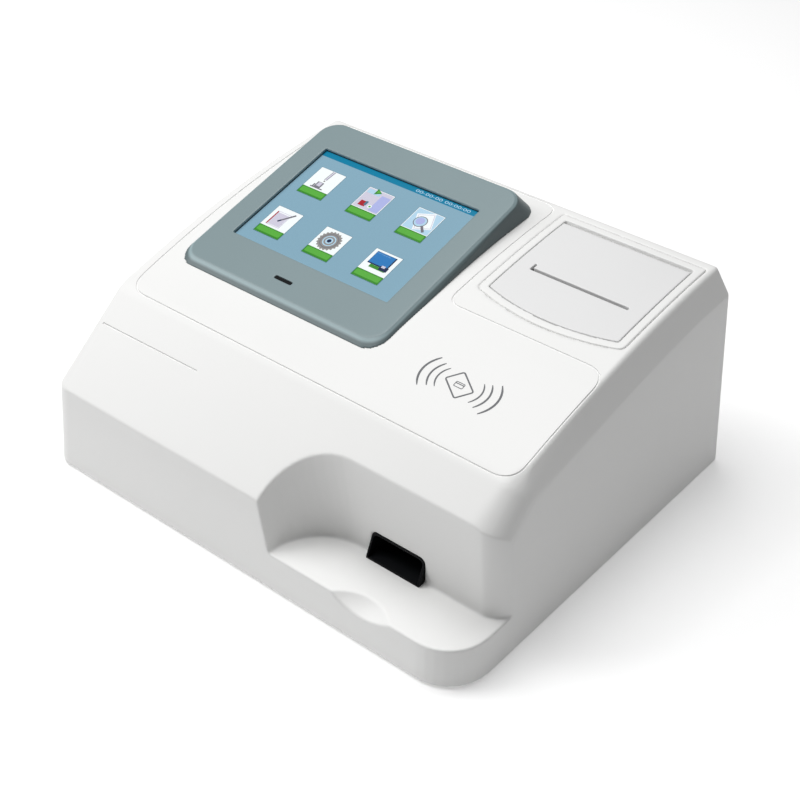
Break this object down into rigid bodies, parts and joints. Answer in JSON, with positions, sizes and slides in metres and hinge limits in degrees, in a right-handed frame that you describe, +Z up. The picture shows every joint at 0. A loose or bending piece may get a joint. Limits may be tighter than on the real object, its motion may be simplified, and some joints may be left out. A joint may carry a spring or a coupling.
{
  "type": "immunofluorescence analyzer",
  "caption": "White wedge-shaped benchtop analyzer with a tilted touch screen pad, a paper printer under a hinged lid and a test card slot in a scooped front recess.",
  "frame": {"origin": "on the table under the middle of the housing, at the underside of the feet", "axes": "+Z up, -Y towards the person at the front, +X to the right side with the card slot and the printer"},
  "size_m": [0.2802, 0.2321, 0.133],
  "materials": {
    "white_shell": "satin",
    "blue_grey": "satin",
    "screen": "gloss",
    "display": "matte",
    "black_plastic": "satin",
    "black_rubber": "matte",
    "steel": "satin",
    "aluminium": "satin",
    "motor_black": "satin",
    "gear_plastic": "satin",
    "brass": "satin",
    "ceramic": "satin",
    "paper": "matte",
    "lens": "gloss",
    "board_green": "satin"
  },
  "bodies": {
    "housing": {"upper_housing": "white_shell", "base_plate": "white_shell", "base_screws": "steel", "foot_front_left": "black_rubber", "foot_front_right": "black_rubber", "foot_rear_left": "black_rubber", "foot_rear_right": "black_rubber", "screen_bezel": "blue_grey", "touch_glass": "screen", "display_module": "display", "display_plate": "steel", "display_screws": "steel", "status_window": "display", "printer_frame": "white_shell", "lid_hinge_pin": "steel", "printer_motor": "steel", "print_head": "ceramic", "card_slot_guide": "black_plastic", "transport_frame": "aluminium", "guide_rod_left": "steel", "guide_rod_right": "steel", "transport_motor": "motor_black", "optical_head": "black_plastic", "objective_lens": "lens", "excitation_lamp": "brass", "detector_board": "board_green", "card_reader_board": "board_green", "main_board": "board_green", "power_supply": "board_green", "io_board": "board_green", "rear_panel": "steel", "power_inlet": "black_plastic", "switch_frame": "black_plastic", "serial_port": "steel", "network_port": "steel", "usb_ports": "steel"},
    "lid": {"printer_lid": "white_shell"},
    "roll": {"paper_roll": "paper", "paper_spindle": "black_plastic"},
    "platen": {"platen_rubber": "black_rubber", "platen_shaft": "steel", "platen_gear": "gear_plastic"},
    "idler": {"idler_gear": "gear_plastic"},
    "pinion": {"motor_pinion": "brass"},
    "tray": {"card_tray": "black_plastic"},
    "screw": {"lead_screw": "steel"},
    "rocker": {"switch_rocker": "black_plastic"}
  },
  "joints": [
    {"name": "lid_hinge", "type": "hinge", "parent": "housing", "child": "lid", "pos_m": [0.0797, 0.0966, 0.11755], "axis": [-1, 0, 0], "range_deg": [0, 90]},
    {"name": "roll_spin", "type": "hinge", "parent": "housing", "child": "roll", "pos_m": [0.0797, 0.0796, 0.08734], "axis": [1, 0, 0], "continuous": true},
    {"name": "platen_spin", "type": "hinge", "parent": "housing", "child": "platen", "pos_m": [0.0797, 0.061, 0.10409], "axis": [1, 0, 0], "continuous": true},
    {"name": "idler_spin", "type": "hinge", "parent": "housing", "child": "idler", "pos_m": [0.1157, 0.05436, 0.08607], "axis": [1, 0, 0], "continuous": true},
    {"name": "pinion_spin", "type": "hinge", "parent": "housing", "child": "pinion", "pos_m": [0.1157, 0.0386, 0.08234], "axis": [1, 0, 0], "continuous": true},
    {"name": "tray_slide", "type": "slide", "parent": "housing", "child": "tray", "axis": [0, 1, 0], "range_m": [0, 0.045]},
    {"name": "screw_turn", "type": "hinge", "parent": "housing", "child": "screw", "pos_m": [0.0765, -0.0615, 0.0159], "axis": [0, 1, 0], "range_deg": [0, 2030]},
    {"name": "rocker_tilt", "type": "hinge", "parent": "housing", "child": "rocker", "pos_m": [-0.07, 0.10915, 0.0315], "axis": [-1, 0, 0], "range_deg": [0, 18]}
  ],
  "couplings": [
    {"joint": "platen_spin", "follows": "idler_spin", "ratio": -1.6667},
    {"joint": "pinion_spin", "follows": "idler_spin", "ratio": -2.8571},
    {"joint": "screw_turn", "follows": "tray_slide", "rad_per_m": 785.4}
  ]
}
